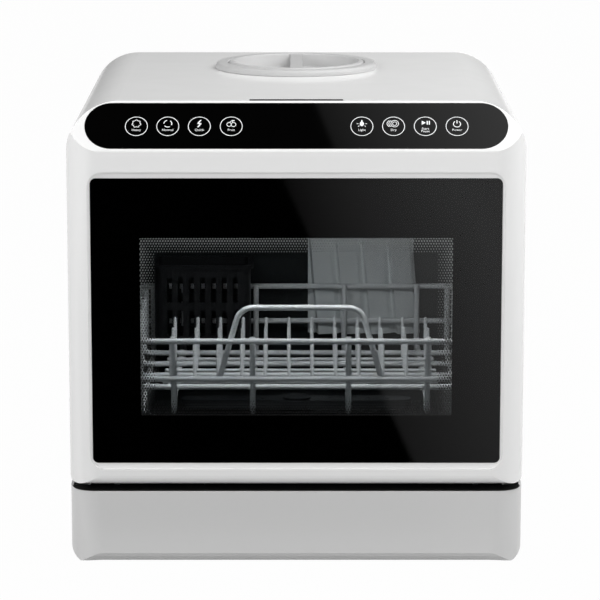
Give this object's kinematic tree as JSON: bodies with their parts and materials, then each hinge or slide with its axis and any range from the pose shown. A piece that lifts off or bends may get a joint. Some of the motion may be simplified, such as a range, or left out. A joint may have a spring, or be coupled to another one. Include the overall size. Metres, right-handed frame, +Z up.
{
  "type": "countertop dishwasher",
  "caption": "White countertop dishwasher with a drop-down window door, touch control strip, tank filler cap on top and a wire basket that slides out.",
  "frame": {"origin": "on the floor under the middle of the machine's footprint", "axes": "+Z up, -Y towards the user (the door side), +X to the user's right"},
  "size_m": [0.42, 0.435, 0.436],
  "materials": {
    "white_plastic": "smooth gloss moulding",
    "white_cover": "fine satin texture",
    "dark_metal": "dark powder coat",
    "black_rubber": "matt",
    "dark_plastic": "satin moulding",
    "tub_plastic": "satin moulding",
    "pale_plastic": "satin moulding",
    "lamp_lens": "frosted lens",
    "steel": "bright zinc plated",
    "clear_glass": "smoked clear glass",
    "black_print": "black enamel fired on the back of the glass",
    "black_glass": "black gloss glass",
    "circuit_board": "solder mask",
    "coated_wire": "nylon coating on wire"
  },
  "bodies": {
    "cabinet": {"outer_shell": "white_plastic", "rear_cover": "white_cover", "base_pan": "dark_metal", "front_plinth": "white_plastic", "rubber_feet": "black_rubber", "front_frame": "dark_plastic", "tub": "tub_plastic", "tub_gasket": "black_rubber", "air_duct_panel": "pale_plastic", "tub_lamp": "lamp_lens", "water_tank": "pale_plastic", "filler_ring": "white_plastic", "float_guide": "pale_plastic", "sump": "dark_plastic", "wash_pump": "dark_plastic", "drain_pump": "dark_plastic", "flow_heater": "steel", "fan_housing": "dark_plastic", "main_board": "circuit_board", "inlet_spigot": "pale_plastic", "drain_spigot": "tub_plastic", "power_gland": "dark_plastic", "cover_screws": "steel", "hinge_arm_left": "steel", "hinge_arm_right": "steel", "latch_housing": "dark_plastic", "latch_spring": "steel", "lower_arm_stem": "dark_plastic", "upper_arm_stem": "dark_plastic"},
    "door": {"door_shell": "white_plastic", "door_glass": "clear_glass", "window_mask": "black_print", "control_strip": "black_glass", "touch_board": "circuit_board", "door_liner": "dark_plastic", "inner_window": "clear_glass", "inner_window_seal": "black_rubber", "hinge_bracket_left": "steel", "hinge_bracket_right": "steel", "hinge_pins": "steel", "latch_strike": "steel", "liner_screws": "steel"},
    "basket": {"basket_rails": "coated_wire", "basket_wires": "coated_wire", "runner_wires": "coated_wire", "basket_floor": "coated_wire", "basket_tines": "coated_wire", "basket_handle": "coated_wire", "cutlery_holder": "dark_plastic"},
    "cap_seal": {"cap_gasket": "black_rubber"},
    "cap": {"tank_cap": "white_plastic"},
    "float": {"level_float": "pale_plastic"},
    "filter": {"filter_cup": "tub_plastic"},
    "impeller": {"pump_impeller": "pale_plastic"},
    "fan": {"fan_wheel": "pale_plastic"},
    "bolt": {"latch_bolt": "pale_plastic"},
    "lower_arm": {"lower_spray_arm": "tub_plastic"},
    "upper_arm": {"upper_spray_arm": "tub_plastic"}
  },
  "joints": [
    {"name": "door_hinge", "type": "hinge", "parent": "cabinet", "child": "door", "pos_m": [0, -0.202, 0.089], "axis": [1, 0, 0], "range_deg": [0, 90]},
    {"name": "basket_slide", "type": "slide", "parent": "cabinet", "child": "basket", "axis": [0, -1, 0], "range_m": [0, 0.0905]},
    {"name": "cap_lift", "type": "slide", "parent": "cabinet", "child": "cap_seal", "axis": [0, 0, 1], "range_m": [0, 0.06]},
    {"name": "cap_turn", "type": "hinge", "parent": "cap_seal", "child": "cap", "pos_m": [0, 0.08, 0.4196], "axis": [0, 0, 1], "range_deg": [0, 90]},
    {"name": "float_slide", "type": "slide", "parent": "cabinet", "child": "float", "axis": [0, 0, 1], "range_m": [0, 0.019]},
    {"name": "filter_turn", "type": "hinge", "parent": "cabinet", "child": "filter", "pos_m": [0.076, -0.077, 0.098], "axis": [0, 0, 1], "range_deg": [0, 60]},
    {"name": "impeller_spin", "type": "hinge", "parent": "cabinet", "child": "impeller", "pos_m": [-0.118, -0.027, 0.055], "axis": [1, 0, 0], "continuous": true},
    {"name": "fan_spin", "type": "hinge", "parent": "cabinet", "child": "fan", "pos_m": [0.074, 0.1477, 0.262], "axis": [0, 1, 0], "continuous": true},
    {"name": "bolt_press", "type": "slide", "parent": "cabinet", "child": "bolt", "axis": [0, 0, -1], "range_m": [0, 0.004], "stiffness_N_per_m": 300, "springref_m": -0.004, "deforming": ["latch_spring"]},
    {"name": "lower_arm_spin", "type": "hinge", "parent": "cabinet", "child": "lower_arm", "pos_m": [0, -0.007, 0.104], "axis": [0, 0, 1], "continuous": true},
    {"name": "upper_arm_spin", "type": "hinge", "parent": "cabinet", "child": "upper_arm", "pos_m": [0, -0.007, 0.354], "axis": [0, 0, 1], "continuous": true}
  ],
  "couplings": [
    {"joint": "basket_slide", "follows": "door_hinge", "m_per_rad": 0.0573}
  ]
}
